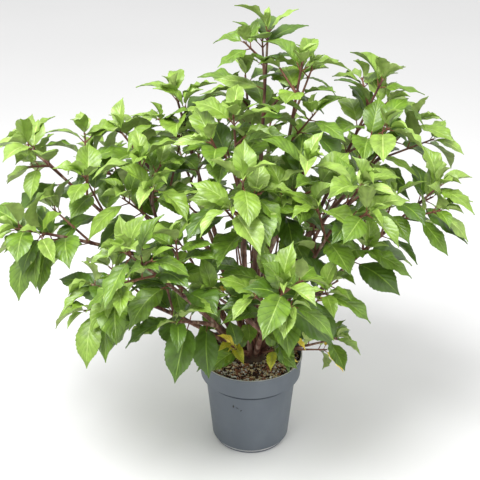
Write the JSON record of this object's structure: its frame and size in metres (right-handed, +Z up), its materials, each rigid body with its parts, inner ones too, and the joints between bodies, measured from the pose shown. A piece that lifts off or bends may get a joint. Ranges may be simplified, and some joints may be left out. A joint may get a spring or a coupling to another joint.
{
  "type": "potted hydrangea shrub",
  "caption": "Leafy panicle hydrangea shrub, about 1.1 m tall, in a grey nursery pot: reddish canes fan out of the potting mix under bright green leaves.",
  "frame": {"origin": "middle of the pot's flat underside", "axes": "+Z up along the pot's axis, -Y towards the front"},
  "size_m": [1.0872, 0.924, 1.0975],
  "materials": {
    "pot": "matte",
    "mix": "rough",
    "wood": "satin",
    "foliage": "satin"
  },
  "bodies": {
    "root": {"pot": "pot", "potting_mix": "mix", "stock": "wood", "cane_right_high": "wood", "cane_top": "wood", "cane_left_high": "wood", "cane_crest": "wood", "cane_back_right": "wood", "cane_back": "wood", "cane_back_left": "wood", "cane_left_back": "wood", "cane_left_far": "wood", "cane_left_low": "wood", "cane_front_left": "wood", "cane_front_high": "wood", "cane_front": "wood", "cane_front_right": "wood", "cane_right_far": "wood", "cane_back_crest": "wood", "cane_middle_right": "wood", "cane_middle": "wood", "cane_left_upper": "wood", "cane_left_middle": "wood", "cane_left_front": "wood", "cane_front_low_left": "wood", "cane_front_middle": "wood", "cane_right_upper": "wood", "cane_right_low": "wood", "cane_front_low_right": "wood", "leaves_right_high": "foliage", "leaves_top": "foliage", "leaves_left_high": "foliage", "leaves_crest": "foliage", "leaves_back_right": "foliage", "leaves_back": "foliage", "leaves_back_left": "foliage", "leaves_left_back": "foliage", "leaves_left_far": "foliage", "leaves_left_low": "foliage", "leaves_front_left": "foliage", "leaves_front_high": "foliage", "leaves_front": "foliage", "leaves_front_right": "foliage", "leaves_right_far": "foliage", "leaves_back_crest": "foliage", "leaves_middle_right": "foliage", "leaves_middle": "foliage", "leaves_left_upper": "foliage", "leaves_left_middle": "foliage", "leaves_left_front": "foliage", "leaves_front_low_left": "foliage", "leaves_front_middle": "foliage", "leaves_right_upper": "foliage", "leaves_right_low": "foliage", "leaves_front_low_right": "foliage", "leaves_foot_left": "foliage", "leaves_foot_front": "foliage", "leaves_foot_right": "foliage", "leaves_foot_back": "foliage", "leaves_low_right": "foliage"}
  },
  "joints": []
}
